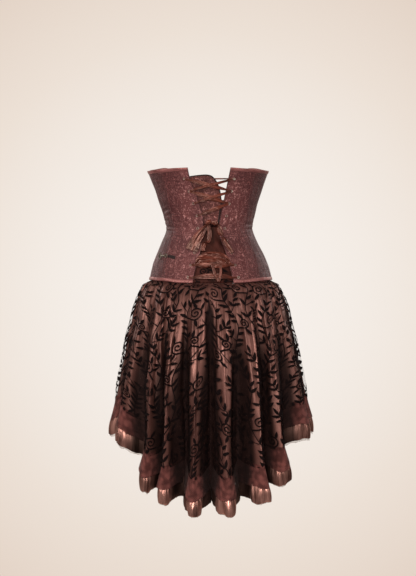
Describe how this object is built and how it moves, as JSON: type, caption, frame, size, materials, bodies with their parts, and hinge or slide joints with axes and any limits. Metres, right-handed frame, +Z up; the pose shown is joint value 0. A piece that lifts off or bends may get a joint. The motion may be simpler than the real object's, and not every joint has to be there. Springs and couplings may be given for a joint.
{
  "type": "steampunk dress",
  "caption": "Strapless laced brocade corset over a gathered high-low skirt, worn shape with no wearer, hem and neck open.",
  "frame": {"origin": "the middle of the waist, inside the garment, where the wearer holds it up", "axes": "+Z up along the wearer, -Y out of the laced back, +X to the wearer's right"},
  "size_m": [0.5425, 0.428, 0.9207],
  "materials": {
    "brocade": "woven brocade with a soft sheen",
    "panel_satin": "dark plain satin",
    "binding": "folded satin",
    "dark_trim": "matte cord and strap",
    "antique_metal": "worn antique metal",
    "ribbon": "satin ribbon",
    "skirt_mesh": "sheer mesh with flocked vines",
    "skirt_satin": "glossy satin",
    "lace": "matte lace",
    "ruffle_satin": "glossy gathered satin",
    "edging_lace": "fine pale lace"
  },
  "bodies": {
    "root": {"corset_back_left": "brocade", "corset_back_right": "brocade", "corset_side_back_left": "panel_satin", "corset_side_back_right": "panel_satin", "corset_side_left": "panel_satin", "corset_side_right": "panel_satin", "corset_side_front_left": "panel_satin", "corset_side_front_right": "panel_satin", "corset_front_left": "brocade", "corset_front_right": "brocade", "corset_top_binding": "binding", "corset_bottom_binding": "binding", "modesty_panel": "brocade", "modesty_panel_piping": "dark_trim", "eyelet_left_1": "antique_metal", "eyelet_left_2": "antique_metal", "eyelet_left_3": "antique_metal", "eyelet_left_4": "antique_metal", "eyelet_left_5": "antique_metal", "eyelet_left_6": "antique_metal", "eyelet_left_7": "antique_metal", "eyelet_left_8": "antique_metal", "eyelet_left_9": "antique_metal", "eyelet_right_1": "antique_metal", "eyelet_right_2": "antique_metal", "eyelet_right_3": "antique_metal", "eyelet_right_4": "antique_metal", "eyelet_right_5": "antique_metal", "eyelet_right_6": "antique_metal", "eyelet_right_7": "antique_metal", "eyelet_right_8": "antique_metal", "eyelet_right_9": "antique_metal", "lacing_top": "ribbon", "lacing_1_down": "ribbon", "lacing_1_up": "ribbon", "lacing_2_down": "ribbon", "lacing_2_up": "ribbon", "lacing_3_up": "ribbon", "lacing_hip_wide": "ribbon", "lacing_hip_twisted": "ribbon", "lacing_bottom": "ribbon", "lacing_hanging_loop": "ribbon", "bow_knot": "ribbon", "bow_tail_left": "ribbon", "bow_loop_middle": "ribbon", "bow_tail_right": "ribbon", "clasp_hook": "antique_metal", "clasp_stem": "antique_metal", "clasp_ring": "antique_metal", "clasp_strap": "dark_trim", "skirt_yoke": "skirt_mesh", "skirt_overlay_back_right": "skirt_mesh", "skirt_overlay_front_right": "skirt_mesh", "skirt_overlay_front_left": "skirt_mesh", "skirt_overlay_back_left": "skirt_mesh", "skirt_satin_right": "skirt_satin", "skirt_satin_left": "skirt_satin", "skirt_lace_band": "lace", "skirt_ruffle": "ruffle_satin", "skirt_lace_edging": "edging_lace"}
  },
  "joints": []
}
